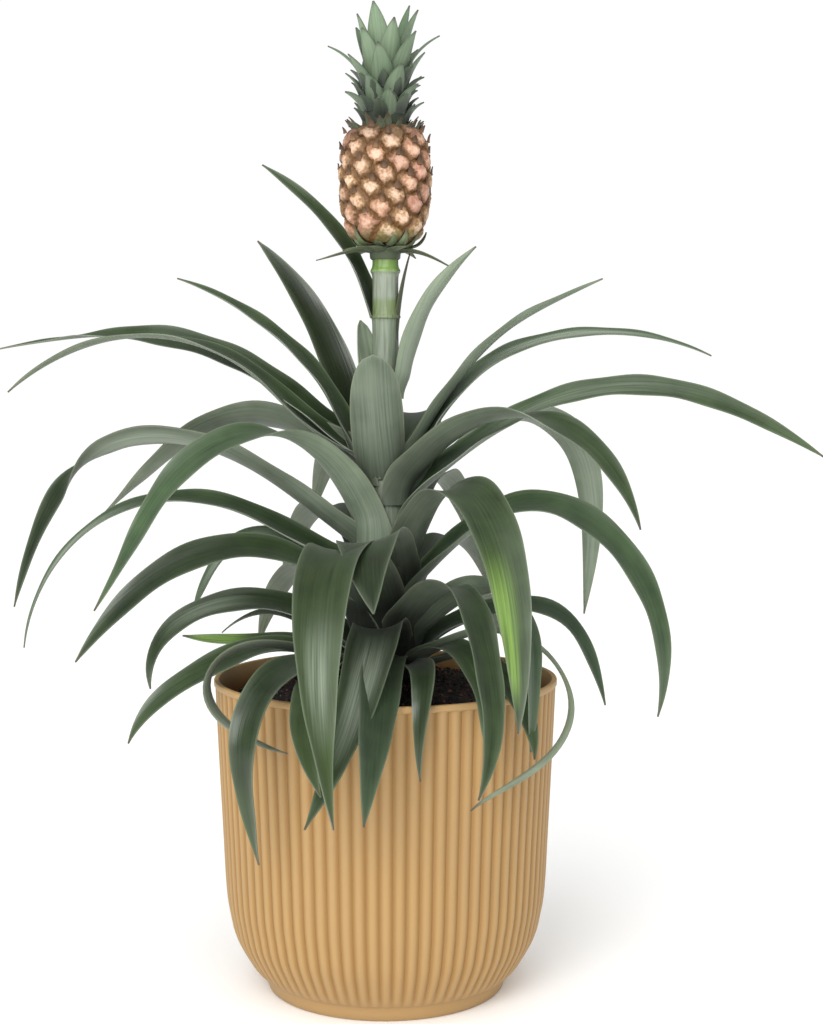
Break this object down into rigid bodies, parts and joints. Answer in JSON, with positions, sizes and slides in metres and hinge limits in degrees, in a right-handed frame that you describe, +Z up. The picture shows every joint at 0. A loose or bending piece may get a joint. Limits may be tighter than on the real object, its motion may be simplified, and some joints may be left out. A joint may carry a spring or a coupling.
{
  "type": "potted pineapple plant",
  "caption": "Potted ornamental pineapple plant: ribbed tapered pot filled with soil, a rosette of arching strap leaves, and a stalk that carries a small crowned fruit.",
  "frame": {"origin": "middle of the pot's flat underside, on the surface that the pot stands on", "axes": "+Z up along the pot's axis, +X to the right and -Y towards the viewer in the reference view"},
  "size_m": [0.3385, 0.2763, 0.3986],
  "materials": {
    "pot_plastic": "matt moulded",
    "potting_soil": "loose and crumbly",
    "stalk": "satin, fibrous",
    "fruit_skin": "rough and scaly",
    "bract": "dry satin",
    "crown_leaf": "mealy satin",
    "leaf": "satin, grey scaly underside"
  },
  "bodies": {
    "root": {"pot": "pot_plastic", "soil": "potting_soil", "stem": "stalk", "fruit": "fruit_skin", "fruit_bracts": "bract", "crown": "crown_leaf", "leaf_left_01": "leaf", "leaf_left_02": "leaf", "leaf_left_03": "leaf", "leaf_left_04": "leaf", "leaf_left_05": "leaf", "leaf_left_06": "leaf", "leaf_left_07": "leaf", "leaf_left_08": "leaf", "leaf_left_09": "leaf", "leaf_left_10": "leaf", "leaf_left_11": "leaf", "leaf_left_12": "leaf", "leaf_left_13": "leaf", "leaf_left_14": "leaf", "leaf_left_15": "leaf", "leaf_left_16": "leaf", "leaf_left_17": "leaf", "leaf_right_01": "leaf", "leaf_right_02": "leaf", "leaf_right_03": "leaf", "leaf_right_04": "leaf", "leaf_right_05": "leaf", "leaf_right_06": "leaf", "leaf_right_07": "leaf", "leaf_right_08": "leaf", "leaf_right_09": "leaf", "leaf_right_10": "leaf", "leaf_right_11": "leaf", "leaf_right_12": "leaf", "leaf_right_13": "leaf", "leaf_right_14": "leaf", "leaf_front_01": "leaf", "leaf_front_02": "leaf", "leaf_front_03": "leaf", "leaf_front_04": "leaf", "leaf_front_05": "leaf", "leaf_front_06": "leaf", "leaf_front_07": "leaf", "sheath_left": "leaf", "bract_right": "bract", "leaf_back_01": "leaf", "leaf_back_02": "leaf", "leaf_back_03": "leaf", "leaf_back_04": "leaf", "leaf_back_05": "leaf", "leaf_back_06": "leaf", "leaf_back_07": "leaf", "leaf_back_08": "leaf"}
  },
  "joints": []
}
